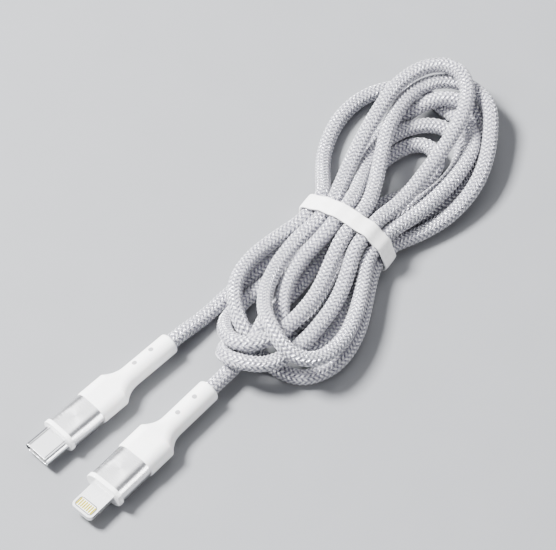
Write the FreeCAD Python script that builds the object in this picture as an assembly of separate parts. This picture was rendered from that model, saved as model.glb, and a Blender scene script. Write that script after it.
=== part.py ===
import FreeCAD, Part
import os
from math import cos, pi, sqrt, tan

# Braided charging cable: a type-C plug at one end, an eight-pin reversible plug at the other,
# and the cord between them folded into a hank that a soft band holds together.
# Millimetres, Z up. The floor is z = 0. The type-C plug points along -Y, and the origin is on
# the floor under the middle of the two plugs.

V = FreeCAD.Vector
UP = V(0, 0, 1)
ALONG = V(0, 1, 0)

# ---- where the pieces lie ----
TYPE_C_PLACE = (-10.1, -14.3, 0.0)      # x, y of the collar's front face, and turn in degrees
EIGHT_PIN_PLACE = (9.5, -17.1, 3.4)
TIE_PLACE = (0.3, 80.3, 10.8)           # x, y of the band's middle, and the hank's turn from +Y

# ---- lengths along a plug, from the collar's front face towards the cord ----
COLLAR_T = 1.2
SPIGOT_END = 3.2
MOULD_END = 10.0
HOUSING_END = 11.5
CABLE_END = 16.0
SHOULDER = 19.4
NECK = 25.4
BOOT_END = 39.3
SHOULDER_SOFTNESS = 0.03                # how gently the wide part turns into the neck
HOLLOW = 2.3                            # how fast the neck narrows after the shoulder

# ---- one plug's cross sections: width and height ----
TYPE_C = {
    "collar": (10.4, 6.0),
    "housing": (9.8, 5.6),
    "boot": (10.3, 6.1),
    "sleeve": 5.8,
}
EIGHT_PIN = {
    "collar": (11.6, 6.7),
    "housing": (10.9, 6.3),
    "boot": (11.5, 6.8),
    "sleeve": 6.2,
}
HOUSING_WALL = 0.5
COLLAR_EDGE_R = 0.3
BOOT_EDGE_R = 0.35                      # rounding of the boot's front edge
MOUTH_R = 0.7                           # rounding of the boot's mouth
LEAST_FLAT = 0.01                       # the shortest flat that a nearly round section keeps
MARGIN = 1.0                            # how far a cutting tool runs past what it cuts

# ---- the cord and what holds it ----
CORD_D = 4.2
CORD_R = CORD_D / 2
CRIMP_D = 4.9
CRIMP_FROM = 17.2
CRIMP_TO = 20.4
WIRE_D = 0.9
WIRE_SPREAD = 0.85                      # the wires' offset from the cord's middle, where they leave it
PAD_PITCH = 1.5                         # the wires' spacing on the circuit board
WIRE_ROOM = 20.0                        # a block wider than the boot, which trims the wires' ends
RESISTOR = (0.5, 1.0, 0.4)              # width, length and height of a small part on a board
RESISTOR_PITCH = 0.9

BAND_W = 4.8
BAND_T = 0.6
BAND_GAP = 0.3                          # clearance between the band and the bundle
BUNDLE_HALF = 7.0                       # half the length over which the bundle keeps its section
FLOOR_ROW = BAND_T + BAND_GAP + CORD_R  # height of the strands that lie on the band
# centres of the bundle's outer strands, x and z: a flat floor row under an arch
OUTER_STRANDS = [
    (-11.9, FLOOR_ROW),
    (-11.8, 7.6),
    (-7.9, 9.4),
    (-3.8, 10.5),
    (0.5, 10.3),
    (4.7, 9.6),
    (8.0, 7.0),
    (9.6, FLOOR_ROW),
]

# each end of the hank, in the hank's own frame: centre along it, sideways shift, radius, height
LOWER_LOBES = (-27.5, 0.4, 20.8, 14.0)
UPPER_LOBES = (33.4, -2.3, 24.0, 13.0)
LOBE_EDGE_R = 2.5

# the cord's route from each plug into the hank, after a short straight run out of the boot
STRAIGHT_OUT = 4.5
TYPE_C_TAIL = [
    (-9.9, 35.0, 2.15),
    (-8.9, 39.6, 2.1),
    (-7.9, 44.5, 2.1),
]
EIGHT_PIN_TAIL = [
    (6.3, 31.2, 3.3),
    (6.1, 35.8, 3.8),
]
RUN_SHARE = 0.45                        # how much of the shorter run an arc takes


# ---------------------------------------------------------------- helpers
def flat_oval(width, height, y, z=0.0, x=0.0):
    """A wire across the plug: two flats joined by half rounds."""
    r = height / 2
    half = max(width - height, LEAST_FLAT) / 2
    a, b = V(x - half, y, z - r), V(x + half, y, z - r)
    c, d = V(x + half, y, z + r), V(x - half, y, z + r)
    edges = [
        Part.LineSegment(a, b).toShape(),
        Part.Arc(b, V(x + half + r, y, z), c).toShape(),
        Part.LineSegment(c, d).toShape(),
        Part.Arc(d, V(x - half - r, y, z), a).toShape(),
    ]
    return Part.Wire(edges)


def oval_bar(size, y_from, y_to, z=0.0):
    """A solid bar of flat oval section."""
    face = Part.Face(flat_oval(size[0], size[1], y_from, z))
    return face.extrude(V(0, y_to - y_from, 0))


def shrink(size, by):
    """The section left inside a wall."""
    return (size[0] - 2 * by, size[1] - 2 * by)


def rod(diameter, y_from, y_to, x=0.0, z=0.0):
    """A round bar along the plug."""
    return Part.makeCylinder(diameter / 2, y_to - y_from, V(x, y_from, z), ALONG)


def block(width, height, y_from, y_to, x=0.0, z=0.0):
    """A box centred on x and z."""
    corner = V(x - width / 2, y_from, z - height / 2)
    return Part.makeBox(width, y_to - y_from, height, corner)


def rod_between(diameter, a, b):
    """A round bar from point a to point b."""
    run = b - a
    return Part.makeCylinder(diameter / 2, run.Length, a, run)


def fillet_all(shape, radius, chosen):
    """Round the edges that chosen(edge) picks."""
    edges = [e for e in shape.Edges if chosen(e)]
    return shape.makeFillet(radius, edges)


def across_at(y):
    """True for edges that lie wholly in the plane at this y."""
    def chosen(edge):
        box = edge.BoundBox
        return abs(box.YMin - y) < 1e-4 and abs(box.YMax - y) < 1e-4
    return chosen


def compound(shapes):
    """Several separate solids that share one node."""
    return Part.makeCompound(shapes)


def cut_all(shape, tools):
    """Take every tool out of a shape."""
    for tool in tools:
        shape = shape.cut(tool)
    return shape


# ---------------------------------------------------------------- pieces both plugs have
def front_collar(plug, hole):
    """The glossy ring in front, with a spigot that plugs into the housing."""
    plate = oval_bar(plug["collar"], 0, COLLAR_T)
    plate = fillet_all(plate, COLLAR_EDGE_R, across_at(0))
    spigot = oval_bar(shrink(plug["housing"], HOUSING_WALL), COLLAR_T, SPIGOT_END)
    return plate.fuse(spigot).removeSplitter().cut(hole)


def housing(plug):
    """The metal sleeve behind the collar."""
    outer = oval_bar(plug["housing"], COLLAR_T, HOUSING_END)
    inner = oval_bar(shrink(plug["housing"], HOUSING_WALL), COLLAR_T, HOUSING_END)
    return outer.cut(inner)


def neck_sections(plug):
    """Sections from the boot's wide part to its sleeve: a crisp shoulder, then a hollow."""
    wide, high = plug["boot"]
    sleeve = plug["sleeve"]
    steps = 12
    soft = SHOULDER_SOFTNESS
    sections = []
    for i in range(steps + 1):
        t = (i / steps) ** 1.6
        start = (sqrt(t * t + soft * soft) - soft) / (sqrt(1 + soft * soft) - soft)
        ease = 1 - (1 - start) ** HOLLOW
        w = wide + (sleeve + LEAST_FLAT - wide) * ease
        h = high + (sleeve - high) * ease
        sections.append(flat_oval(w, h, SHOULDER + (NECK - SHOULDER) * t))
    return sections


def boot(plug, inside):
    """The soft strain relief: wide grip, narrowing neck, round sleeve."""
    grip = oval_bar(plug["boot"], HOUSING_END, SHOULDER)
    grip = fillet_all(grip, BOOT_EDGE_R, across_at(HOUSING_END))
    neck = Part.makeLoft(neck_sections(plug), True, False)
    sleeve = oval_bar((plug["sleeve"] + LEAST_FLAT, plug["sleeve"]), NECK, BOOT_END)
    sleeve = fillet_all(sleeve, MOUTH_R, across_at(BOOT_END))
    root = oval_bar(shrink(plug["housing"], HOUSING_WALL), MOULD_END, HOUSING_END)
    whole = grip.fuse([neck, sleeve, root])
    return cut_all(whole, inside)


def crimp_ring():
    """The metal ring squeezed on the cord inside the boot."""
    ring = rod(CRIMP_D, CRIMP_FROM, CRIMP_TO)
    return ring.cut(rod(CORD_D, CRIMP_FROM - MARGIN, CRIMP_TO + MARGIN))


def cable_end():
    """The straight end of the cord, inside the boot."""
    return rod(CORD_D, CABLE_END, BOOT_END)


def wires():
    """Four insulated wires from the circuit board to the end of the cord."""
    solids = []
    room = block(WIRE_ROOM, WIRE_ROOM, MOULD_END, CABLE_END)
    for i, (across, above) in enumerate([(-1, 1), (-1, -1), (1, 1), (1, -1)]):
        from_board = V(PAD_PITCH * (i - 1.5), MOULD_END - MARGIN, 0)
        to_cord = V(across * WIRE_SPREAD, CABLE_END + MARGIN, above * WIRE_SPREAD)
        solids.append(rod_between(WIRE_D, from_board, to_cord).common(room))
    return solids


def chip(size, x, y, floor):
    """A small package standing on the circuit board's upper face."""
    width, length, height = size
    return Part.makeBox(width, length, height, V(x - width / 2, y, floor))


def resistors(count, x, y, floor):
    """A row of small packages, from x towards -X."""
    return [chip(RESISTOR, x - RESISTOR_PITCH * i, y, floor) for i in range(count)]


# ---------------------------------------------------------------- type-C plug
SHELL = (8.25, 2.4)
SHELL_WALL = 0.3
SHELL_FROM = -7.4
SHELL_TO = 4.2
SHELL_EDGE_R = 0.12
SLOT = (6.6, 1.1)
SLOT_END = -0.8
CARRIER_FROM = -7.05
CONTACT_COUNT = 12
CONTACT_PITCH = 0.5
CONTACT_W = 0.26
CONTACT_T = 0.12
CONTACT_PROUD = 0.06                    # how far the contacts stand into the slot
CONTACT_FROM = -6.35
LATCH_SPRING = (0.15, 0.8)              # width and height
LATCH_FROM = -6.15
TYPE_C_BOARD = (7.2, 0.8)
MARKER_CHIP = (2.2, 2.2, 0.8)
MARKER_AT = (0.9, 5.6)
TYPE_C_RESISTORS = (3, -1.4, 6.0)       # how many, then x and y of the first


def type_c_contacts(side):
    """A row of contact springs, lying in one face of the slot."""
    row = []
    z = side * (SLOT[1] / 2 + CONTACT_T / 2 - CONTACT_PROUD)
    for i in range(CONTACT_COUNT):
        x = (i - (CONTACT_COUNT - 1) / 2) * CONTACT_PITCH
        row.append(block(CONTACT_W, CONTACT_T, CONTACT_FROM, SHELL_TO, x, z))
    return row


def latch_springs():
    """The two side springs that hold the plug in its socket."""
    width, height = LATCH_SPRING
    return [block(width, height, LATCH_FROM, SLOT_END, side * (SLOT[0] - width) / 2)
            for side in (-1, 1)]


def type_c_pieces():
    """Every piece of the type-C plug, in the plug's own frame."""
    outer = oval_bar(SHELL, SHELL_FROM, SHELL_TO)
    bore = oval_bar(shrink(SHELL, SHELL_WALL), SHELL_FROM, SHELL_TO)
    shell = outer.cut(bore)
    shell = fillet_all(shell, SHELL_EDGE_R, across_at(SHELL_FROM))

    upper, lower, latches = type_c_contacts(1), type_c_contacts(-1), latch_springs()
    carrier = oval_bar(shrink(SHELL, SHELL_WALL), CARRIER_FROM, SHELL_TO)
    slot = block(SLOT[0], SLOT[1], CARRIER_FROM - MARGIN, SLOT_END)
    carrier = cut_all(carrier, [slot] + upper + lower + latches)

    board = block(TYPE_C_BOARD[0], TYPE_C_BOARD[1], SHELL_TO, MOULD_END)
    top = TYPE_C_BOARD[1] / 2
    marker = chip(MARKER_CHIP, *MARKER_AT, top)
    small = resistors(*TYPE_C_RESISTORS, top)

    collar = front_collar(TYPE_C, oval_bar(SHELL, -MARGIN, SPIGOT_END + MARGIN))
    cores = wires()
    ring = crimp_ring()
    end = cable_end()
    mould = oval_bar(shrink(TYPE_C["housing"], HOUSING_WALL), SPIGOT_END, MOULD_END)
    mould = cut_all(mould, [outer, board, marker] + small)
    return {
        "type_c_shell": shell,
        "type_c_contact_carrier": carrier,
        "type_c_contacts_upper": compound(upper),
        "type_c_contacts_lower": compound(lower),
        "type_c_latch_springs": compound(latches),
        "type_c_circuit_board": board,
        "type_c_marker_chip": marker,
        "type_c_board_resistors": compound(small),
        "type_c_inner_mould": mould,
        "type_c_front_collar": collar,
        "type_c_housing": housing(TYPE_C),
        "type_c_power_wires": compound(cores[0:2]),
        "type_c_data_wires": compound(cores[2:4]),
        "type_c_crimp_ring": ring,
        "type_c_boot": boot(TYPE_C, cores + [ring, end]),
        "type_c_cable_end": end,
    }


# ---------------------------------------------------------------- eight-pin plug
TONGUE = (6.7, 1.5)
TONGUE_FROM = -8.4
TONGUE_TO = 3.6
TONGUE_CORNER = 1.3
NOTCH_Y = -4.9                          # the latch hollows in the tongue's sides
NOTCH_R = 0.9
NOTCH_H = 0.7
NOTCH_DEEP = 0.35
WINDOW_W = 5.7
WINDOW_FROM = -7.8
WINDOW_TO = -4.7
WINDOW_CORNER = 0.9
CHANNEL = (4.0, 0.7)                    # width and height of the insert's root inside the tongue
PAD_COUNT = 8
PIN_PITCH = 0.66
PIN_W = 0.46
PIN_L = 2.2
PIN_FROM = -7.35
PIN_T = 0.2
PIN_PROUD = 0.02
CAN = (8.0, 3.8)
CAN_WALL = 0.2
EIGHT_PIN_BOARD = (6.8, 0.8)
CONTROL_CHIP = (3.0, 3.0, 0.9)
CONTROL_AT = (0.6, 5.0)
EIGHT_PIN_RESISTORS = (2, -1.7, 5.6)    # how many, then x and y of the first


def rounded_plate(width, height, y_from, y_to, radius, corners_at):
    """A flat bar whose upright edges at the given y are rounded."""
    plate = block(width, height, y_from, y_to)

    def upright(edge):
        box = edge.BoundBox
        tall = box.ZLength > height * 0.9 and box.XLength < 1e-4 and box.YLength < 1e-4
        return tall and any(abs(box.YMin - y) < 1e-4 for y in corners_at)
    return fillet_all(plate, radius, upright)


def pins(side):
    """One face's row of gold pads, let into the insert."""
    z = side * (TONGUE[1] / 2 + PIN_PROUD - PIN_T / 2)
    return [block(PIN_W, PIN_T, PIN_FROM, PIN_FROM + PIN_L,
                  (i - (PAD_COUNT - 1) / 2) * PIN_PITCH, z)
            for i in range(PAD_COUNT)]


def eight_pin_pieces():
    """Every piece of the eight-pin plug, in the plug's own frame."""
    blank = rounded_plate(TONGUE[0], TONGUE[1], TONGUE_FROM, TONGUE_TO,
                          TONGUE_CORNER, [TONGUE_FROM])
    window = rounded_plate(WINDOW_W, TONGUE[1], WINDOW_FROM, WINDOW_TO,
                           WINDOW_CORNER, [WINDOW_FROM, WINDOW_TO])
    channel = block(*CHANNEL, WINDOW_TO - MARGIN, TONGUE_TO)
    notch_x = TONGUE[0] / 2 + NOTCH_R - NOTCH_DEEP
    notches = [Part.makeCylinder(NOTCH_R, NOTCH_H, V(side * notch_x, NOTCH_Y, -NOTCH_H / 2), UP)
               for side in (-1, 1)]
    frame = cut_all(blank, [window, channel] + notches)
    front, back = pins(1), pins(-1)
    insert = window.fuse(channel).removeSplitter()
    insert = cut_all(insert, front + back)

    board = block(EIGHT_PIN_BOARD[0], EIGHT_PIN_BOARD[1], TONGUE_TO, MOULD_END)
    top = EIGHT_PIN_BOARD[1] / 2
    control = chip(CONTROL_CHIP, *CONTROL_AT, top)
    small = resistors(*EIGHT_PIN_RESISTORS, top)
    can_outer = block(CAN[0], CAN[1], TONGUE_TO, MOULD_END)
    can_inner = block(CAN[0] - 2 * CAN_WALL, CAN[1] - 2 * CAN_WALL, TONGUE_TO, MOULD_END)
    potting = cut_all(can_inner, [board, control] + small)

    collar = front_collar(EIGHT_PIN, block(TONGUE[0], TONGUE[1], -MARGIN, SPIGOT_END + MARGIN))
    cores = wires()
    ring = crimp_ring()
    end = cable_end()
    mould = oval_bar(shrink(EIGHT_PIN["housing"], HOUSING_WALL), SPIGOT_END, MOULD_END)
    mould = cut_all(mould, [blank, can_outer])
    return {
        "eight_pin_tongue_frame": frame,
        "eight_pin_pad_insert": insert,
        "eight_pin_contacts_front": compound(front),
        "eight_pin_contacts_back": compound(back),
        "eight_pin_circuit_board": board,
        "eight_pin_control_chip": control,
        "eight_pin_board_resistors": compound(small),
        "eight_pin_shield_can": can_outer.cut(can_inner),
        "eight_pin_potting": potting,
        "eight_pin_inner_mould": mould,
        "eight_pin_front_collar": collar,
        "eight_pin_housing": housing(EIGHT_PIN),
        "eight_pin_power_wires": compound(cores[0:2]),
        "eight_pin_data_wires": compound(cores[2:4]),
        "eight_pin_crimp_ring": ring,
        "eight_pin_boot": boot(EIGHT_PIN, cores + [ring, end]),
        "eight_pin_cable_end": end,
    }


# ---------------------------------------------------------------- hank and band
def lobe_group(lobes):
    """One end of the hank: the round outline that its loops fill."""
    centre, shift, radius, height = lobes
    towards = 1 if centre > 0 else -1
    left = min(x for x, z in OUTER_STRANDS) - CORD_R
    right = max(x for x, z in OUTER_STRANDS) + CORD_R
    disc = Part.makeCylinder(radius, height, V(shift, centre, 0), UP)
    outline = [
        V(left, towards * BUNDLE_HALF, 0),
        V(right, towards * BUNDLE_HALF, 0),
        V(shift + radius, centre, 0),
        V(shift - radius, centre, 0),
    ]
    wedge = Part.Face(Part.makePolygon(outline + [outline[0]])).extrude(V(0, 0, height))
    return disc.fuse(wedge).removeSplitter()


def rounded_top(shape, height):
    """Round the outline's edges at the top."""
    def on_top(edge):
        box = edge.BoundBox
        return abs(box.ZMin - height) < 1e-4 and abs(box.ZMax - height) < 1e-4
    return fillet_all(shape, LOBE_EDGE_R, on_top)


def bundle_bar(grow, half):
    """A bar of the bundle's section: the polygon of strand centres, grown with round corners."""
    corners = [V(x, -half, z) for x, z in OUTER_STRANDS]
    outline = Part.makePolygon(corners + [corners[0]]).makeOffset2D(grow)
    return Part.Face(outline).extrude(V(0, 2 * half, 0))


def hank():
    """The outer shape of the folded cord: two groups of loops and the bundle between them."""
    lower = rounded_top(lobe_group(LOWER_LOBES), LOWER_LOBES[3])
    upper = rounded_top(lobe_group(UPPER_LOBES), UPPER_LOBES[3])
    bundle = bundle_bar(CORD_R, BUNDLE_HALF + MARGIN)
    return lower.fuse([upper, bundle]).removeSplitter()


def tie_band():
    """The soft band around the bundle."""
    inner = CORD_R + BAND_GAP
    ring = bundle_bar(inner + BAND_T, BAND_W / 2)
    return ring.cut(bundle_bar(inner, BAND_W))


# ---------------------------------------------------------------- the cord's free stretches
def route_wire(points):
    """Straight runs joined by tangent arcs, each as large as its two runs allow."""
    corners = [V(*p) for p in points]
    edges = []
    radii = []
    start = corners[0]
    for before, corner, after in zip(corners, corners[1:], corners[2:]):
        back = (before - corner).normalize()
        ahead = (after - corner).normalize()
        turn = (corner - before).getAngle(after - corner)
        reach = RUN_SHARE * min((corner - before).Length, (after - corner).Length)
        radius = reach / tan(turn / 2)
        middle = (back + ahead).normalize()
        deep = radius / cos(turn / 2) - radius
        arc_from = corner + back * reach
        arc_to = corner + ahead * reach
        edges.append(Part.LineSegment(start, arc_from).toShape())
        edges.append(Part.Arc(arc_from, corner + middle * deep, arc_to).toShape())
        radii.append(round(radius, 1))
        start = arc_to
    edges.append(Part.LineSegment(start, corners[-1]).toShape())
    return Part.Wire(edges), radii


def out_of_boot(plug, place):
    """The first two points of a tail: the boot's mouth, and straight out of it."""
    x, y, turn = place
    height = plug["boot"][1] / 2
    ahead = FreeCAD.Rotation(UP, turn).multVec(ALONG)
    return [tuple(V(x, y, height) + ahead * far)
            for far in (BOOT_END, BOOT_END + STRAIGHT_OUT)]


def cord_tube(name, points):
    """A round tube along a route, with its volume checked against section times length."""
    wire, radii = route_wire(points)
    first = V(*points[1]) - V(*points[0])
    section = Part.Wire([Part.Circle(V(*points[0]), first, CORD_R).toShape()])
    tube = wire.makePipeShell([section], True, False)
    expected = pi * CORD_R ** 2 * wire.Length
    print(name, "radii mm", radii, "length mm", round(wire.Length, 2),
          "volume share", round(tube.Volume / expected, 4))
    return tube


def placed(shape, place):
    """Turn a shape about Z and carry it to its place on the floor."""
    x, y, turn = place[:3]
    rise = place[3] if len(place) > 3 else 0.0
    copy = shape.copy()
    copy.Placement = FreeCAD.Placement(V(x, y, rise), FreeCAD.Rotation(UP, turn))
    return copy


def main():
    os.makedirs("parts", exist_ok=True)
    nodes = {}
    for pieces, plug, place in ((type_c_pieces(), TYPE_C, TYPE_C_PLACE),
                                (eight_pin_pieces(), EIGHT_PIN, EIGHT_PIN_PLACE)):
        axis_height = plug["boot"][1] / 2
        for name, shape in pieces.items():
            nodes[name] = placed(shape, place + (axis_height,))
    type_c_tail = cord_tube("type_c_cable_tail",
                            out_of_boot(TYPE_C, TYPE_C_PLACE) + TYPE_C_TAIL)
    eight_pin_tail = cord_tube("eight_pin_cable_tail",
                               out_of_boot(EIGHT_PIN, EIGHT_PIN_PLACE) + EIGHT_PIN_TAIL)
    nodes["type_c_cable_tail"] = type_c_tail
    nodes["eight_pin_cable_tail"] = eight_pin_tail
    nodes["cable_hank"] = cut_all(placed(hank(), TIE_PLACE), [type_c_tail, eight_pin_tail])
    nodes["tie_band"] = placed(tie_band(), TIE_PLACE)
    for name, shape in nodes.items():
        if not shape.isValid():
            print("not valid:", name)
        shape.exportStep("parts/%s.step" % name)
    print(len(nodes), "nodes")


main()
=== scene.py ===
import math

import bpy
import numpy as np
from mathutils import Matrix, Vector


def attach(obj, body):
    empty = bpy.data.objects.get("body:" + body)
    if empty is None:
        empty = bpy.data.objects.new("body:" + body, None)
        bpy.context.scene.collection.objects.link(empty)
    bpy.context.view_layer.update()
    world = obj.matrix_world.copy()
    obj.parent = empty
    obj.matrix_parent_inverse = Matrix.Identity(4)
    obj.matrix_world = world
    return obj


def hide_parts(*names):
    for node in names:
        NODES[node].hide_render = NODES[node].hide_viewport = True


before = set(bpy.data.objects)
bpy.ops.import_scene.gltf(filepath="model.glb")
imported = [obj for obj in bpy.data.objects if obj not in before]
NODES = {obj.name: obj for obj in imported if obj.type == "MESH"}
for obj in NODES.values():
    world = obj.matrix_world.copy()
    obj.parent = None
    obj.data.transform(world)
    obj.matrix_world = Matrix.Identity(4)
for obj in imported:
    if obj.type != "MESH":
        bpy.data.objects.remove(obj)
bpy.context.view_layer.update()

# A braided charging cable with two plugs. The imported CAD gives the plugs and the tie's place;
# this script adds the braided cord, the soft band, small surface details, materials and lights.

MM = 0.001

# ---------------------------------------------------------------- camera, floor and lights

LOOK_AT = Vector((-0.006635, 0.060373, 0.0))
CAMERA_AZIMUTH = math.radians(45.0)
CAMERA_ELEVATION = math.radians(57.0)
CAMERA_DISTANCE = 0.9
LENS = 224.35
SENSOR = 36.0


def direction(azimuth, elevation):
    return Vector((
        math.sin(azimuth) * math.cos(elevation),
        -math.cos(azimuth) * math.cos(elevation),
        math.sin(elevation),
    ))


def add_camera():
    data = bpy.data.cameras.new("camera")
    data.lens = LENS
    data.sensor_width = SENSOR
    data.clip_start = 0.01
    data.clip_end = 20.0
    camera = bpy.data.objects.new("camera", data)
    bpy.context.scene.collection.objects.link(camera)
    back = direction(CAMERA_AZIMUTH, CAMERA_ELEVATION)
    camera.location = LOOK_AT + back * CAMERA_DISTANCE
    camera.rotation_euler = (-back).to_track_quat("-Z", "Y").to_euler()
    bpy.context.scene.camera = camera


def add_area_light(name, azimuth, elevation, distance, size, watts):
    data = bpy.data.lights.new(name, "AREA")
    data.shape = "RECTANGLE"
    data.size = size[0]
    data.size_y = size[1]
    data.energy = watts
    light = bpy.data.objects.new(name, data)
    bpy.context.scene.collection.objects.link(light)
    out = direction(math.radians(azimuth), math.radians(elevation))
    light.location = LOOK_AT + out * distance
    light.rotation_euler = (-out).to_track_quat("-Z", "Y").to_euler()


def add_world(colour, strength):
    world = bpy.data.worlds.new("studio")
    world.use_nodes = True
    sky = world.node_tree.nodes["Background"]
    sky.inputs["Color"].default_value = (*colour, 1.0)
    sky.inputs["Strength"].default_value = strength
    bpy.context.scene.world = world


def add_floor(material):
    mesh = bpy.data.meshes.new("floor")
    half = 2.5
    corners = [(-half, -half, 0.0), (half, -half, 0.0), (half, half, 0.0), (-half, half, 0.0)]
    mesh.from_pydata(corners, [], [(0, 1, 2, 3)])
    floor = bpy.data.objects.new("floor", mesh)
    bpy.context.scene.collection.objects.link(floor)
    mesh.materials.append(material)


# ---------------------------------------------------------------- the cord's route

CORD_D = 4.2
CORD_R = CORD_D / 2
# Two frames, in mm: the row frame is the scene's own, with the plugs side by side and their
# tongues towards -Y, and the hank frame has its origin on the floor under the tie.
TIE_MIDDLE = (0.3, 80.3)                # row frame
TIE_TURN = math.radians(10.8)           # the hank's turn from +Y

# Row frame: each starts at a boot's mouth and runs to the hank.
TYPE_C_TAIL = [(-10.1, 25.0, 3.05), (-10.1, 29.5, 3.05), (-9.9, 35.0, 2.15)]
EIGHT_PIN_TAIL = [(7.169, 22.131, 3.4), (6.902, 26.623, 3.4), (6.7, 31.2, 3.45), (6.66, 35.0, 4.9)]

# Hank frame: x across, y along the hank, z up.
# In the tie the strands lie in a flat floor row and in an arch over it.
FLOOR_ROW = 3.0
SLOTS = {
    "arch1": (-11.8, 7.6), "arch2": (-7.9, 9.4), "arch3": (-3.8, 10.5), "arch4": (0.5, 10.3),
    "arch5": (4.7, 9.6), "arch6": (8.0, 7.0), "floor6": (9.6, FLOOR_ROW),
    "floor1": (-11.9, FLOOR_ROW), "floor2": (-7.6, FLOOR_ROW), "floor3": (-3.3, FLOOR_ROW),
    "floor4": (1.0, FLOOR_ROW), "floor5": (5.3, FLOOR_ROW),
}
TIE_HALF = 5.0                          # mm each side of the tie where the strands run straight

TYPE_C_RUN = [(-17.0, -34.0, 2.1), (-15.0, -22.0, 2.1), (-12.7, -10.5, 2.6)]
# (slot it comes from, points, slot it goes to), by turns beyond the tie and before it
TURNS = [
    ("floor1", [(-11.6, 14, 3.2), (-12.2, 25, 4), (-10.8, 36.5, 6.5), (-5.5, 49, 8), (4, 52.6, 8),
                (11.4, 46.5, 5), (15.4, 34, 2.2), (13.4, 19.5, 2.3), (8.4, 11, 2.6)], "floor5"),
    ("floor5", [(8.0, -12, 3.0), (11.5, -21, 3.5), (11.9, -28.5, 4), (8.6, -34.6, 5),
                (2.4, -36, 6.4), (-3.2, -32, 7.6), (-6, -23, 8.2), (-5.8, -12, 9.2)], "arch3"),
    ("arch3", [(-6.2, 13, 9.2), (-9.5, 23, 8.2), (-9, 32, 7), (-5.4, 40, 6.5), (1, 44.4, 6.2),
               (8, 43, 5.4), (11.4, 35, 4.8), (10, 23, 4), (5, 12, 2.8)], "floor4"),
    ("floor4", [(3, -14, 2.4), (4.2, -26, 2.1), (1.4, -32.4, 2.1), (-3, -35.4, 2.1),
                (-6.2, -39, 2.1), (-7, -43.4, 2.2), (-5.8, -47.6, 4.4), (-2.4, -50.2, 8.4),
                (1.8, -49.4, 9.6), (5.8, -47, 9.8), (7.8, -42.2, 9.6), (8.8, -37, 9.4),
                (9.4, -30, 9.6), (9.2, -20, 9.6), (6.8, -11, 9.4)], "arch5"),
    ("arch5", [(6.6, 14, 10), (6.8, 25, 12), (6.6, 37, 13), (5, 47.5, 13.5), (0.6, 55.3, 13.5),
               (-4.9, 57.6, 13.5), (-10.8, 54.6, 13.5), (-14.1, 46.2, 13.5), (-13.8, 36, 13),
               (-12.6, 24, 12), (-10.2, 13, 10.2)], "arch2"),
    ("arch2", [(-9.6, -12, 10), (-9.2, -23, 10.5), (-5.3, -33.5, 11.5), (1, -40.3, 12.5),
               (9, -43.2, 11.5), (15.5, -39.5, 10.5), (17.3, -30, 10), (15.2, -20, 9.2),
               (11.2, -11, 7.6)], "arch6"),
    ("arch6", [(11.0, 13, 7.2), (13.4, 25, 7.4), (14, 36, 7.2), (12.2, 44.5, 6.4), (6.6, 50, 5),
               (-0.6, 49.8, 3), (-8.5, 51.2, 2.1), (-17, 49.2, 2.1), (-23.3, 40.5, 2.1),
               (-24.6, 30, 2.1), (-21.5, 19, 2.5), (-16.2, 11, 5)], "arch1"),
    ("arch1", [(-14.6, -11.5, 7), (-17.3, -21, 6.3), (-16, -31.5, 6.3), (-10.6, -38.6, 6.6),
               (-6.2, -41.2, 6.8), (-2.2, -42.6, 3), (2, -43.2, 2.1), (7, -43.8, 2.1),
               (13.6, -42.2, 2.3), (18.4, -34, 3), (17.6, -23, 3.4), (12.8, -12, 3.2)], "floor6"),
    ("floor6", [(13, 12, 3.8), (16.6, 21.5, 5), (17.6, 31.5, 6.2), (14, 42.5, 6), (7.2, 52.8, 7),
                (-1.8, 57, 7.5), (-9.2, 52, 9.5), (-11.8, 42, 10.5), (-9.8, 31, 10.7),
                (-5.2, 21, 10.6), (-1.2, 12, 10.4)], "arch4"),
    ("arch4", [(1.8, -12, 10.2), (3.8, -21.5, 10), (3.2, -30.5, 10), (1.4, -38, 10),
               (-1.3, -43.4, 9.8), (-5.8, -46, 8.4), (-9.8, -43.1, 6.2), (-12.3, -38.7, 4.2),
               (-13.1, -32.8, 2.8), (-12.2, -26, 2.1), (-10, -18.5, 2.1), (-8.0, -11, 2.5)],
     "floor2"),
    ("floor2", [(-7.2, 14, 2.4), (-8, 22, 2.1), (-7.8, 29, 2.1), (-5, 34.8, 2.1),
                (0, 37.4, 2.1), (5, 35.2, 2.1), (7.2, 29, 2.1), (5.8, 20, 2.1),
                (1.2, 12.5, 2.3)], "floor3"),
]
EIGHT_PIN_RUN = [(-3.0, -10, 2.5), (-3.2, -20, 2.1), (-2.8, -29, 2.6), (-2.2, -36.5, 7.2),
                 (-1.7, -41.8, 7.9)]


def from_hank(points):
    """Hank frame to row frame, in mm."""
    c = math.cos(TIE_TURN)
    s = math.sin(TIE_TURN)
    return [(c * x - s * y + TIE_MIDDLE[0], s * x + c * y + TIE_MIDDLE[1], z) for x, y, z in points]


def to_hank(points):
    """Row frame to hank frame, as an array in mm."""
    c = math.cos(TIE_TURN)
    s = math.sin(TIE_TURN)
    p = np.array(points, float) - (*TIE_MIDDLE, 0.0)
    return np.stack([c * p[:, 0] + s * p[:, 1], c * p[:, 1] - s * p[:, 0], p[:, 2]], 1)


def through_tie(slot, upwards):
    x, z = SLOTS[slot]
    ends = (-TIE_HALF, 0.0, TIE_HALF) if upwards else (TIE_HALF, 0.0, -TIE_HALF)
    return [(x, y, z) for y in ends]


def planned_route():
    """The cord as it is laid, from the type-C boot to the eight-pin boot, row frame, mm."""
    hank = list(TYPE_C_RUN)
    for number, (start, points, _) in enumerate(TURNS):
        hank += through_tie(start, upwards=number % 2 == 0)
        hank += points
    hank += through_tie(TURNS[-1][2], upwards=False)
    hank += EIGHT_PIN_RUN
    return TYPE_C_TAIL + from_hank(hank) + EIGHT_PIN_TAIL[::-1]


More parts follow.
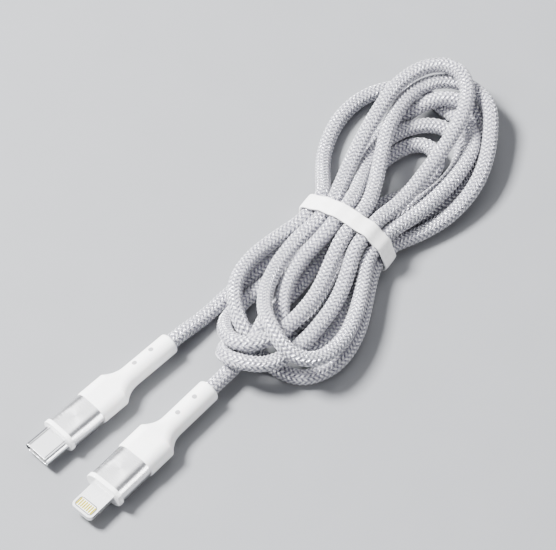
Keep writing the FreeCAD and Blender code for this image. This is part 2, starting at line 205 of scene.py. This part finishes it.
def spline_curve(name, points):
    """One open NURBS spline of order 3 with these points, in mm, as its control points."""
    data = bpy.data.curves.new(name, "CURVE")
    data.dimensions = "3D"
    spline = data.splines.new("NURBS")
    spline.points.add(len(points) - 1)
    for control, p in zip(spline.points, points):
        control.co = (p[0] * MM, p[1] * MM, p[2] * MM, 1.0)
    spline.order_u = 3
    spline.use_endpoint_u = True
    spline.resolution_u = 12
    data.resolution_u = 12
    return bpy.data.objects.new(name, data)


def read_spline(points):
    """The points along the NURBS spline, in mm, as Blender works them out."""
    curve = spline_curve("route", points)
    bpy.context.scene.collection.objects.link(curve)
    bpy.context.view_layer.update()
    mesh = bpy.data.meshes.new_from_object(curve)
    line = np.array([v.co for v in mesh.vertices]) / MM
    bpy.data.objects.remove(curve)
    return line


def evenly(line, step):
    """The line's points a given distance apart."""
    lengths = np.r_[0.0, np.cumsum(np.linalg.norm(np.diff(line, axis=0), axis=1))]
    marks = np.linspace(0.0, lengths[-1], int(round(lengths[-1] / step)) + 1)
    return np.stack([np.interp(marks, lengths, line[:, k]) for k in range(3)], 1)


def smoothed(values, times):
    for _ in range(times):
        softer = values.copy()
        softer[1:-1] = 0.25 * values[:-2] + 0.5 * values[1:-1] + 0.25 * values[2:]
        values = softer
    return values


SETTLE_STEP = 1.5                       # mm between the settled points
SETTLE_ROUNDS = 500
NEIGHBOURS = 2.5                        # cord diameters along the cord that never count as contact
LOOK_EVERY = 5                          # rounds between two looks for strands that may meet
LOOK_BEYOND = 3.0                       # mm of extra distance in that look
PUSH = 1.6                              # strength of the push apart, before it is spread
PUSH_SPREAD = 4                         # rounds of smoothing that spread a push along the cord
SETTLE_CLOSING = 0.6                    # share of the rounds after which only contact acts
SETTLE_GAP = 0.05                       # mm left between two strands
GRAVITY = 0.02                          # mm a round
HOMING = 0.012                          # pull back towards where it was laid
HOMING_WAYS = (1.0, 1.0, 0.4)           # weaker up and down
STIFFNESS = 0.5                         # share of a sharp shift that is smoothed away each round
STIFFNESS_CLOSING = 0.15
HELD_HALF = 5.2                         # mm each side of the tie where nothing moves
HELD_FADE = 4.0
END_HELD = 15.0                         # mm at each boot where nothing moves
END_FADE = 9.0


def settled(line):
    """The cord's own contact and weight: strands push apart where they meet, and sink."""
    start = to_hank(evenly(line, SETTLE_STEP))
    x = start.copy()
    count = len(x)
    apart = int(math.ceil(NEIGHBOURS * CORD_D / SETTLE_STEP))
    along = np.arange(count) * SETTLE_STEP
    from_tie = np.clip((np.abs(start[:, 1]) - HELD_HALF) / HELD_FADE, 0.0, 1.0)
    to_end = np.minimum(along, along[-1] - along)
    from_ends = np.clip((to_end - END_HELD) / END_FADE, 0.0, 1.0)
    free = (from_tie * from_ends)[:, None]
    first, second = np.triu_indices(count, apart)
    reach = CORD_D + SETTLE_GAP
    for number in range(SETTLE_ROUNDS):
        closing = number > SETTLE_CLOSING * SETTLE_ROUNDS
        if number % LOOK_EVERY == 0:
            near = np.linalg.norm(x[first] - x[second], axis=1) < reach + LOOK_BEYOND
            near_first = first[near]
            near_second = second[near]
        between = x[near_second] - x[near_first]
        distance = np.linalg.norm(between, axis=1)
        touching = distance < reach
        a = near_first[touching]
        b = near_second[touching]
        distance = distance[touching][:, None]
        push = between[touching] * (reach - distance) / np.maximum(distance, 1e-6)
        moves = np.zeros_like(x)
        times = np.zeros(count)
        np.add.at(moves, a, -0.5 * push)
        np.add.at(moves, b, 0.5 * push)
        np.add.at(times, a, 1)
        np.add.at(times, b, 1)
        moves /= np.maximum(times, 1)[:, None]
        force = smoothed(moves, PUSH_SPREAD) * PUSH
        if not closing:
            force[:, 2] -= GRAVITY
            force += HOMING * (start - x) * np.array(HOMING_WAYS)
        shift = x + force * free - start
        stiffness = STIFFNESS_CLOSING if closing else STIFFNESS
        shift += (smoothed(shift, 2) - shift) * stiffness * free
        x = start + shift
        x[:, 2] = np.maximum(x[:, 2], CORD_R)
    return np.array(from_hank(x))


# Settled points left out at each boot, where the tail takes over, and settled points from one
# control point to the next.
LEFT_OUT_TYPE_C = 8
LEFT_OUT_EIGHT_PIN = 12
SETTLED_A_CONTROL = 2


def final_route():
    """Control points of the cord's NURBS spline: the tails as laid, and the settled hank between."""
    line = settled(read_spline(planned_route()))
    middle = line[LEFT_OUT_TYPE_C:-LEFT_OUT_EIGHT_PIN:SETTLED_A_CONTROL]
    return np.vstack([TYPE_C_TAIL, middle, EIGHT_PIN_TAIL[::-1]])


# ---------------------------------------------------------------- the braided cord

COLUMNS = 12                            # columns of stitches round the cord
SIDES_A_COLUMN = 2
SIDES = SIDES_A_COLUMN * COLUMNS
STITCH = 1.25                           # mm along the cord from one stitch to the next
RINGS_A_STITCH = 4
STITCH_RELIEF = 0.11                    # mm from a stitch's middle height to its top
COLUMN_RELIEF = 0.06                    # mm lower at a column's sides than at its middle
STITCH_LEAN = 0.5                       # stitches it leans across a column, by turns left and right


def turning_frames(line):
    """A unit tangent, and two unit normals that don't twist, at each point of the line."""
    tangent = np.gradient(line, axis=0)
    tangent /= np.linalg.norm(tangent, axis=1)[:, None]
    side = np.zeros_like(line)
    side[0] = np.cross(tangent[0], (0.0, 0.0, 1.0))
    side[0] /= np.linalg.norm(side[0])
    for i in range(1, len(line)):
        kept = side[i - 1] - tangent[i] * (side[i - 1] @ tangent[i])
        side[i] = kept / np.linalg.norm(kept)
    return tangent, side, np.cross(tangent, side)


def braid_relief(s, t):
    """Height in mm of the stitches: s counts stitches along the cord, t counts columns round it."""
    column = np.floor(t)
    odd = np.mod(column, 2)
    across = t - column - 0.5
    phase = s - (1.0 - 2.0 * odd) * STITCH_LEAN * across + 0.5 * odd
    bump = np.cos(2 * math.pi * phase) * np.cos(math.pi * across)
    return STITCH_RELIEF * bump - COLUMN_RELIEF * np.abs(2 * across) ** 2


def cord_mesh(name, line):
    """A tube along the line whose diamond faces follow the braid, with the stitches raised."""
    _, side, up = turning_frames(line)
    count = len(line)
    ring, place = np.meshgrid(np.arange(count), np.arange(SIDES), indexing="ij")
    t = (place + 0.5 * (ring % 2)) * COLUMNS / SIDES
    s = ring / RINGS_A_STITCH
    angle = 2 * math.pi * t / COLUMNS
    radius = CORD_R - STITCH_RELIEF + braid_relief(s, t)
    out = np.cos(angle)[..., None] * side[:, None] + np.sin(angle)[..., None] * up[:, None]
    verts = (line[:, None] + out * radius[..., None]).reshape(-1, 3) * MM

    def at(i, j):
        return i * SIDES + j % SIDES

    faces = []
    corners = []                        # each face corner's stitch and column, without the wrap
    for i in range(count - 2):
        odd = i % 2
        for j in range(SIDES):
            faces.append((at(i, j), at(i + 1, j + odd), at(i + 2, j), at(i + 1, j + odd - 1)))
            here = j + 0.5 * odd
            corners += [(i, here), (i + 1, here + 0.5), (i + 2, here), (i + 1, here - 0.5)]
    for i, toward in ((0, 1), (count - 1, -1)):
        odd = i % 2
        for j in range(SIDES):
            middle = at(i + toward, j + odd)
            here = j + 0.5 * odd
            trio = [(at(i, j), (i, here)), (at(i, j + 1), (i, here + 1)),
                    (middle, (i + toward, here + 0.5))]
            if toward < 0:
                trio.reverse()
            faces.append(tuple(v for v, _ in trio))
            corners += [c for _, c in trio]
    faces.append(tuple(at(0, j) for j in range(SIDES)))
    corners += [(0, j) for j in range(SIDES)]
    faces.append(tuple(at(count - 1, j) for j in reversed(range(SIDES))))
    corners += [(count - 1, j) for j in reversed(range(SIDES))]

    mesh = bpy.data.meshes.new(name)
    mesh.from_pydata(verts.tolist(), [], faces)
    layer = mesh.uv_layers.new(name="braid")
    marks = np.array(corners, float)
    uv = np.stack([marks[:, 0] / RINGS_A_STITCH, marks[:, 1] * COLUMNS / SIDES], 1)
    layer.data.foreach_set("uv", uv.ravel())
    mesh.polygons.foreach_set("use_smooth", [True] * len(mesh.polygons))
    mesh.update()
    return mesh


def add_cord(material):
    control = final_route()
    line = evenly(read_spline(control), STITCH / RINGS_A_STITCH)
    cord = bpy.data.objects.new("braided_cord", cord_mesh("braided_cord", line))
    bpy.context.scene.collection.objects.link(cord)
    cord.data.materials.append(material)
    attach(cord, "cable")
    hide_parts("type_c_cable_tail", "eight_pin_cable_tail", "cable_hank")
    return cord, line * MM


# ---------------------------------------------------------------- the soft band

BAND_W = 4.8                            # mm
BAND_T = 0.6
BAND_INSIDE = 2.4                       # from a strand's middle to the band's inner face
BAND_STEP = 0.7
BAND_DIP = 0.12                         # how far it draws in between two strands
BAND_WAVER = 0.07                       # how far its edges wander
BAND_CROWN = 0.06
BAND_EDGE_R = 0.2
BAND_EDGE_STEPS = 3
BAND_CROWN_STEPS = 8
BAND_JOIN = 0.5                         # mm round the band across its join, for the weave
FLOOR_RUN_TOP = 1.0                     # mm: below this the band has no crown
AROUND = ["floor1", "arch1", "arch2", "arch3", "arch4", "arch5", "arch6", "floor6"]


def band_loop():
    """Points of the band's inner face round the bundle, each with its outward direction."""
    strands = [np.array(SLOTS[name]) for name in AROUND]
    count = len(strands)
    outward = []
    for i in range(count):
        run = strands[(i + 1) % count] - strands[i]
        run /= np.linalg.norm(run)
        outward.append(np.array((-run[1], run[0])))
    places = []
    for i in range(count):
        before = outward[i - 1]
        after = outward[i]
        turn = math.acos(min(1.0, float(before @ after)))
        steps = max(2, int(math.ceil(turn * BAND_INSIDE / BAND_STEP)))
        for k in range(steps + 1):
            way = before + (after - before) * k / steps
            way /= np.linalg.norm(way)
            places.append((strands[i] + way * BAND_INSIDE, way))
        start = strands[i] + after * BAND_INSIDE
        run = strands[(i + 1) % count] - strands[i]
        long = np.linalg.norm(run)
        steps = max(2, int(math.ceil(long / BAND_STEP)))
        on_floor = i == count - 1
        for k in range(1, steps):
            dip = 0.0 if on_floor else BAND_DIP * math.sin(math.pi * k / steps) ** 2
            places.append((start + run * k / steps - after * dip, after))
    return places


def band_profile():
    """The band's cross section: (across it, out from its inner face), round its edges."""
    half = BAND_W / 2
    profile = []
    for side, level in ((1, 0), (1, 1), (-1, 1), (-1, 0)):
        centre_y = side * (half - BAND_EDGE_R)
        centre_z = BAND_EDGE_R if level == 0 else BAND_T - BAND_EDGE_R
        first = {(1, 0): -90, (1, 1): 0, (-1, 1): 90, (-1, 0): 180}[(side, level)]
        for k in range(BAND_EDGE_STEPS + 1):
            angle = math.radians(first + 90 * k / BAND_EDGE_STEPS)
            profile.append((centre_y + BAND_EDGE_R * math.cos(angle),
                            centre_z + BAND_EDGE_R * math.sin(angle)))
        if level == 1 and side == 1:
            for k in range(1, BAND_CROWN_STEPS):
                y = centre_y * (1 - 2 * k / BAND_CROWN_STEPS)
                profile.append((y, BAND_T + BAND_CROWN * (1 - (y / half) ** 2)))
    return profile


def add_band(material):
    """The soft elastic band: a flat strip drawn round the bundle."""
    loop = band_loop()
    profile = band_profile()
    lengths = np.r_[0.0, np.cumsum([np.linalg.norm(loop[i + 1][0] - loop[i][0])
                                    for i in range(len(loop) - 1)])]
    verts = []
    for (place, way), far in zip(loop, lengths):
        shift = BAND_WAVER * math.sin(far * 0.9) + BAND_WAVER * math.sin(far * 0.37 + 1.0)
        for across, out in profile:
            out = min(out, BAND_T) if place[1] < FLOOR_RUN_TOP else out
            at = place + way * out
            verts.append((at[0], across + shift, at[1]))
    verts = [[c * MM for c in p] for p in from_hank(verts)]
    count = len(profile)
    faces = []
    marks = []
    for i in range(len(loop)):
        after = (i + 1) % len(loop)
        far = lengths[i]
        next_far = far + BAND_JOIN if after == 0 else lengths[after]
        for k in range(count):
            m = (k + 1) % count
            faces.append((i * count + k, i * count + m, after * count + m, after * count + k))
            here = profile[k][0]
            there = profile[m][0]
            marks += [(far, here), (far, there), (next_far, there), (next_far, here)]
    mesh = bpy.data.meshes.new("soft_band")
    mesh.from_pydata(verts, [], faces)
    layer = mesh.uv_layers.new(name="band")
    layer.data.foreach_set("uv", np.array(marks, float).ravel())
    mesh.polygons.foreach_set("use_smooth", [True] * len(mesh.polygons))
    mesh.materials.append(material)
    band = bpy.data.objects.new("soft_band", mesh)
    bpy.context.scene.collection.objects.link(band)
    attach(band, "band")
    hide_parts("tie_band")
    return band


# ---------------------------------------------------------------- materials


class Nodes:
    """Short ways to build a material's nodes."""

    def __init__(self, name):
        self.material = bpy.data.materials.new(name)
        self.material.use_nodes = True
        self.tree = self.material.node_tree
        self.shader = self.tree.nodes["Principled BSDF"]

    def add(self, kind, **settings):
        node = self.tree.nodes.new(kind)
        for key, value in settings.items():
            setattr(node, key, value)
        return node

    def put(self, value, socket):
        if isinstance(value, bpy.types.NodeSocket):
            self.tree.links.new(value, socket)
        else:
            socket.default_value = value

    def math(self, operation, *values):
        node = self.add("ShaderNodeMath", operation=operation)
        for value, socket in zip(values, node.inputs):
            self.put(value, socket)
        return node.outputs[0]

    def split(self, vector):
        node = self.add("ShaderNodeSeparateXYZ")
        self.put(vector, node.inputs[0])
        return node.outputs

    def scaled(self, vector, factors):
        node = self.add("ShaderNodeVectorMath", operation="MULTIPLY")
        self.put(vector, node.inputs[0])
        self.put(factors, node.inputs[1])
        return node.outputs[0]

    def plug_place(self, middle, turn):
        """Millimetres in a plug's own frame: x across, y along it, z up from the floor."""
        node = self.add("ShaderNodeMapping", vector_type="TEXTURE")
        node.inputs["Location"].default_value = (middle[0] * MM, middle[1] * MM, 0.0)
        node.inputs["Rotation"].default_value = (0.0, 0.0, turn)
        node.inputs["Scale"].default_value = (MM, MM, MM)
        self.put(self.add("ShaderNodeTexCoord").outputs["Object"], node.inputs["Vector"])
        return node.outputs[0]

    def beyond(self, value, limit):
        """How far the value is past the limit, or nothing."""
        return self.math("MAXIMUM", self.math("SUBTRACT", value, limit), 0.0)

    def paint_over(self, mask, colour, strength):
        """Paint a colour over the base colour where the mask is set."""
        base = self.shader.inputs["Base Color"]
        under = base.links[0].from_socket
        self.put(self.mix(self.math("MULTIPLY", mask, strength), under, colour), base)

    def mix(self, factor, a, b):
        node = self.add("ShaderNodeMix", data_type="RGBA")
        self.put(factor, node.inputs["Factor"])
        for value, socket in ((a, node.inputs[6]), (b, node.inputs[7])):
            self.put(value if isinstance(value, bpy.types.NodeSocket) else (*value, 1.0), socket)
        return node.outputs[2]

    def noise(self, scale, detail=2.0, roughness=0.5, vector=None):
        node = self.add("ShaderNodeTexNoise")
        node.inputs["Scale"].default_value = scale
        node.inputs["Detail"].default_value = detail
        node.inputs["Roughness"].default_value = roughness
        if vector is None:
            vector = self.add("ShaderNodeTexCoord").outputs["Object"]
        self.put(vector, node.inputs["Vector"])
        return node.outputs["Fac"]

    def ramp(self, value, low, high, to_low=0.0, to_high=1.0):
        node = self.add("ShaderNodeMapRange", interpolation_type="SMOOTHSTEP")
        for number, item in zip(range(5), (value, low, high, to_low, to_high)):
            self.put(item, node.inputs[number])
        return node.outputs[0]

    def bump(self, height, distance):
        node = self.add("ShaderNodeBump")
        node.inputs["Strength"].default_value = 1.0
        node.inputs["Distance"].default_value = distance
        self.put(height, node.inputs["Height"])
        self.put(node.outputs["Normal"], self.shader.inputs["Normal"])

    def surface(self, **values):
        for key, value in values.items():
            socket = self.shader.inputs[key.replace("_", " ")]
            if isinstance(value, tuple) and len(value) == 3 and socket.type == "RGBA":
                value = (*value, 1.0)
            self.put(value, socket)


def braid_material():
    """Silver yarn: bright stitches with a painted highlight on each crest, painted shade in the
    troughs and along the column seams, and small painted-shade gaps in the middle of each column.
    """
    n = Nodes("braid_silver")
    uv = n.add("ShaderNodeUVMap", uv_map="braid").outputs["UV"]
    s, t, _ = n.split(uv)
    column = n.math("FLOOR", t)
    odd = n.math("FLOORED_MODULO", column, 2.0)
    lean = n.math("SUBTRACT", STITCH_LEAN, n.math("MULTIPLY", odd, 2 * STITCH_LEAN))
    off = n.math("SUBTRACT", n.math("SUBTRACT", t, column), 0.5)
    phase = n.math("SUBTRACT", s, n.math("MULTIPLY", lean, off))
    phase = n.math("ADD", phase, n.math("MULTIPLY", odd, 0.5))
    wave = n.math("COSINE", n.math("MULTIPLY", phase, 2 * math.pi))
    across = n.math("ABSOLUTE", off)
    gap = n.math("MULTIPLY", n.ramp(wave, 0.1, -0.7), n.ramp(across, 0.36, 0.12))
    seam = n.ramp(across, 0.36, 0.5)
    fibre = n.math("COSINE", n.math("MULTIPLY", phase, 2 * math.pi * 6))
    speckle = n.noise(1500.0, 3.0)
    blotch = n.noise(260.0, 2.0)
    tone = n.mix(n.ramp(speckle, 0.35, 0.65), (0.80, 0.80, 0.84), (0.99, 0.99, 0.99))
    tone = n.mix(n.math("MULTIPLY", n.ramp(blotch, 0.4, 0.7), 0.6), tone, (0.97, 0.97, 0.98))
    # Painted highlight on each stitch's crest, and painted shade in the troughs between stitches.
    painted_crest_highlight = n.math("MULTIPLY", n.ramp(wave, -0.7, 0.7), n.ramp(across, 0.5, 0.2))
    tone = n.mix(painted_crest_highlight, (0.52, 0.515, 0.58), tone)
    # Painted shade along the seams between columns.
    tone = n.mix(n.math("MULTIPLY", seam, 0.3), tone, (0.24, 0.235, 0.31))
    # Painted shade: dark lilac in the small gaps in the middle of each column.
    colour = n.mix(n.math("MULTIPLY", gap, 0.85), tone, (0.09, 0.088, 0.13))
    height = n.math("SUBTRACT", n.math("MULTIPLY", wave, 0.5), n.math("MULTIPLY", gap, 0.6))
    height = n.math("SUBTRACT", height, n.math("MULTIPLY", seam, 0.5))
    height = n.math("ADD", height, n.math("MULTIPLY", fibre, 0.10))
    height = n.math("ADD", height, n.math("MULTIPLY", speckle, 0.45))
    n.bump(height, 0.00034)
    n.surface(Base_Color=colour, Roughness=n.ramp(gap, 0.0, 1.0, 0.2, 0.7), Metallic=0.4)
    n.surface(Sheen_Weight=0.15, Sheen_Roughness=0.4, Specular_IOR_Level=0.8)
    return n.material


def moulded(name, light, dark, roughness, grain=900.0, depth=0.00002, **more):
    """Moulded plastic: a little colour variation, and a fine grain that breaks up the gloss."""
    n = Nodes(name)
    broad = n.ramp(n.noise(110.0, 3.0), 0.35, 0.65)
    fine = n.noise(grain, 4.0, 0.6)
    n.surface(Base_Color=n.mix(broad, dark, light), **more)
    n.surface(Roughness=n.ramp(fine, 0.3, 0.7, roughness * 0.88, min(roughness * 1.12, 1.0)))
    n.bump(fine, depth)
    return n


def brushed(name, light, dark, roughness, place=((0.0, 0.0), 0.0), stretch=(1.0, 14.0),
            depth=0.000004):
    """Bare metal with fine streaks, drawn out along the plug or across it."""
    n = Nodes(name)
    at = n.plug_place(*place)
    streaks = n.noise(0.9, 5.0, 0.65, n.scaled(at, (stretch[1], stretch[0], stretch[1])))
    cloud = n.noise(0.35, 2.0, 0.5, at)
    tone = n.mix(n.ramp(streaks, 0.3, 0.7), dark, light)
    n.surface(Base_Color=n.mix(n.math("MULTIPLY", cloud, 0.35), tone, light), Metallic=1.0)
    n.surface(Roughness=n.ramp(streaks, 0.3, 0.7, roughness * 1.2, roughness * 0.85))
    n.bump(streaks, depth)
    return n, at


TYPE_C_PLACE = ((-10.1, -14.3), 0.0)    # as in the CAD: the collar's face in mm, and the turn
EIGHT_PIN_PLACE = ((9.5, -17.1), math.radians(3.4))
SHELL_REFLECTION_X = 2.72                     # painted dark reflection lines on the type-C metal, either side of the middle
SHELL_REFLECTION_W = 0.2
WINDOW_MIDDLE_Y = -6.25
WINDOW_HALF = (2.85, 1.55)
WINDOW_CORNER = 0.9
WINDOW_LINE = 0.34
MARK_R = 0.74
TYPE_C_MARKS = ((-0.9, 27.5), (-0.8, 33.2))
EIGHT_PIN_MARKS = ((-0.3, 27.7), (-0.25, 33.9))


def type_c_metal():
    """Bright plated steel with a painted dark reflection line along each side of its two flats."""
    n, at = brushed("plated_steel", (0.93, 0.935, 0.95), (0.84, 0.845, 0.86), 0.2, TYPE_C_PLACE)
    x, y, _ = n.split(at)
    off = n.math("ABSOLUTE", n.math("SUBTRACT", n.math("ABSOLUTE", x), SHELL_REFLECTION_X))
    line = n.math("MULTIPLY", n.ramp(off, SHELL_REFLECTION_W, SHELL_REFLECTION_W * 0.4), n.ramp(y, -7.3, -6.8))
    # Painted reflection: dark lines along the flats' sides, standing in for dark surroundings
    # mirrored by the curved metal.
    n.paint_over(line, (0.03, 0.03, 0.04), 0.95)
    return n.material


def window_plastic():
    """The pale insert, with the thin shadow line where it meets the metal."""
    n = moulded("insert_plastic", (0.93, 0.93, 0.92), (0.88, 0.88, 0.87), 0.35)
    x, y, _ = n.split(n.plug_place(*EIGHT_PIN_PLACE))
    out_x = n.beyond(n.math("ABSOLUTE", x), WINDOW_HALF[0] - WINDOW_CORNER)
    out_y = n.beyond(n.math("ABSOLUTE", n.math("SUBTRACT", y, WINDOW_MIDDLE_Y)),
                     WINDOW_HALF[1] - WINDOW_CORNER)
    reach = n.math("SQRT", n.math("ADD", n.math("MULTIPLY", out_x, out_x),
                                  n.math("MULTIPLY", out_y, out_y)))
    line = n.ramp(reach, WINDOW_CORNER - WINDOW_LINE, WINDOW_CORNER - WINDOW_LINE * 0.7)
    n.paint_over(line, (0.03, 0.03, 0.035), 0.95)
    return n.material


def boot_material(name, place, marks):
    """Matte soft white plastic, with two small grey printed dots on top of the sleeve."""
    n = moulded(name, (0.93, 0.93, 0.925), (0.885, 0.885, 0.88), 0.5, 1300.0, 0.00003)
    n.surface(Sheen_Weight=0.12, Sheen_Roughness=0.5, Subsurface_Weight=0.08)
    n.surface(Subsurface_Scale=0.001)
    x, y, z = n.split(n.plug_place(*place))
    upper = n.ramp(z, 4.6, 5.0)
    for mark_x, mark_y in marks:
        dx = n.math("SUBTRACT", x, mark_x)
        dy = n.math("SUBTRACT", y, mark_y)
        far = n.math("SQRT", n.math("ADD", n.math("MULTIPLY", dx, dx), n.math("MULTIPLY", dy, dy)))
        spot = n.math("MULTIPLY", n.ramp(far, MARK_R, MARK_R - 0.12), upper)
        n.paint_over(spot, (0.16, 0.16, 0.17), 0.85)
    return n.material


def satin_housing(name, place):
    """Satin anodised aluminium, with faint lines drawn round it."""
    n, _ = brushed(name, (0.80, 0.80, 0.81), (0.70, 0.70, 0.715), 0.30, place, (9.0, 0.6), 0.000006)
    n.surface(Anisotropic=0.25)
    return n.material


def gold_plating():
    n, _ = brushed("gold_plating", (0.35, 0.295, 0.0), (0.29, 0.24, 0.0), 0.5, EIGHT_PIN_PLACE)
    n.surface(Metallic=0.15, Specular_IOR_Level=0.1)
    return n.material


def board_material():
    """Green solder mask with lighter tracks under it."""
    n = Nodes("circuit_board")
    x, _, _ = n.split(n.plug_place((0.0, 0.0), 0.0))
    tracks = n.ramp(n.math("SINE", n.math("MULTIPLY", x, 9.0)), 0.55, 0.8)
    mask = n.mix(n.noise(700.0, 3.0), (0.012, 0.10, 0.045), (0.02, 0.16, 0.07))
    n.surface(Base_Color=n.mix(tracks, mask, (0.05, 0.26, 0.12)), Roughness=0.35)
    n.bump(tracks, 0.00002)
    return n.material


def band_material():
    """Warm white woven elastic, soft and matte, with fine ribs along it and painted shade in the
    weave's hollows.
    """
    n = Nodes("band_white")
    uv = n.add("ShaderNodeUVMap", uv_map="band").outputs["UV"]
    along, across, _ = n.split(uv)
    ribs = n.math("COSINE", n.math("MULTIPLY", across, 2 * math.pi / 0.4))
    picks = n.math("COSINE", n.math("MULTIPLY", along, 2 * math.pi / 0.35))
    fine = n.noise(900.0, 4.0)
    weave = n.math("ADD", n.math("MULTIPLY", ribs, 0.5), n.math("MULTIPLY", picks, 0.3))
    height = n.math("ADD", weave, fine)
    tone = n.mix(n.ramp(fine, 0.3, 0.7), (0.86, 0.855, 0.84), (0.94, 0.935, 0.925))
    # Painted shade: up to 12% darker where the ribs and picks dip.
    n.surface(Base_Color=n.mix(n.ramp(weave, 0.0, -0.8, 0.0, 0.12), tone, (0.7, 0.69, 0.67)))
    n.surface(Roughness=n.ramp(fine, 0.3, 0.7, 0.62, 0.78), Sheen_Weight=0.2, Sheen_Roughness=0.5)
    n.bump(height, 0.00004)
    return n.material


def finish_nodes():
    """Give every CAD node that stays in view its own material."""
    collar = moulded("collar_white", (0.95, 0.95, 0.95), (0.91, 0.91, 0.915), 0.16, 500.0, 0.000003,
                     Coat_Weight=0.5, Coat_Roughness=0.08).material
    mould = moulded("mould_white", (0.84, 0.84, 0.82), (0.76, 0.76, 0.74), 0.5).material
    chip = moulded("chip_black", (0.035, 0.035, 0.037), (0.02, 0.02, 0.022), 0.45).material
    spring = brushed("spring_steel", (0.72, 0.73, 0.75), (0.58, 0.59, 0.61), 0.3)[0].material
    tongue = brushed("brushed_nickel", (0.93, 0.93, 0.935), (0.86, 0.86, 0.87), 0.3,
                     EIGHT_PIN_PLACE)[0].material
    carrier = moulded("carrier_plastic", (0.06, 0.06, 0.065), (0.035, 0.035, 0.04), 0.4).material
    red = moulded("wire_red", (0.62, 0.03, 0.03), (0.48, 0.02, 0.02), 0.4).material
    green = moulded("wire_green", (0.03, 0.42, 0.12), (0.02, 0.30, 0.08), 0.4).material
    gold = gold_plating()
    board = board_material()
    yarn = moulded("braid_end", (0.90, 0.90, 0.92), (0.62, 0.615, 0.67), 0.5, 1500.0, 0.0001).material
    finishes = {
        "type_c_shell": type_c_metal(),
        "type_c_contact_carrier": carrier,
        "type_c_contacts_upper": gold,
        "type_c_contacts_lower": gold,
        "type_c_latch_springs": spring,
        "type_c_marker_chip": chip,
        "type_c_housing": satin_housing("satin_aluminium_c", TYPE_C_PLACE),
        "type_c_boot": boot_material("boot_white_c", TYPE_C_PLACE, TYPE_C_MARKS),
        "eight_pin_tongue_frame": tongue,
        "eight_pin_pad_insert": window_plastic(),
        "eight_pin_contacts_front": gold,
        "eight_pin_contacts_back": gold,
        "eight_pin_control_chip": chip,
        "eight_pin_shield_can": spring,
        "eight_pin_potting": mould,
        "eight_pin_housing": satin_housing("satin_aluminium_8", EIGHT_PIN_PLACE),
        "eight_pin_boot": boot_material("boot_white_8", EIGHT_PIN_PLACE, EIGHT_PIN_MARKS),
    }
    for plug in ("type_c", "eight_pin"):
        finishes[plug + "_circuit_board"] = board
        finishes[plug + "_board_resistors"] = chip
        finishes[plug + "_inner_mould"] = mould
        finishes[plug + "_front_collar"] = collar
        finishes[plug + "_power_wires"] = red
        finishes[plug + "_data_wires"] = green
        finishes[plug + "_crimp_ring"] = spring
        finishes[plug + "_cable_end"] = yarn
    for name, material in finishes.items():
        slots = NODES[name].material_slots
        for held in slots:
            held.material = material
        if not slots:
            NODES[name].data.materials.append(material)


def floor_material():
    n = Nodes("floor_paper")
    fine = n.noise(60.0, 4.0)
    n.surface(Base_Color=n.mix(fine, (0.175, 0.18, 0.19), (0.19, 0.195, 0.205)), Roughness=0.7)
    return n.material


# ---------------------------------------------------------------- the scene

add_camera()
add_world((0.84, 0.86, 1.0), 0.24)
add_area_light("key", 292.0, 50.0, 1.3, (0.35, 0.35), 122.0)
add_area_light("ceiling", 212.0, 57.0, 1.4, (0.95, 0.9), 9.0)
add_area_light("strip", 112.0, 24.0, 1.2, (0.16, 0.6), 9.0)
add_area_light("fill", 345.0, 40.0, 1.5, (0.6, 0.6), 6.0)
add_floor(floor_material())
finish_nodes()

band = add_band(band_material())
cord, cord_path = add_cord(braid_material())
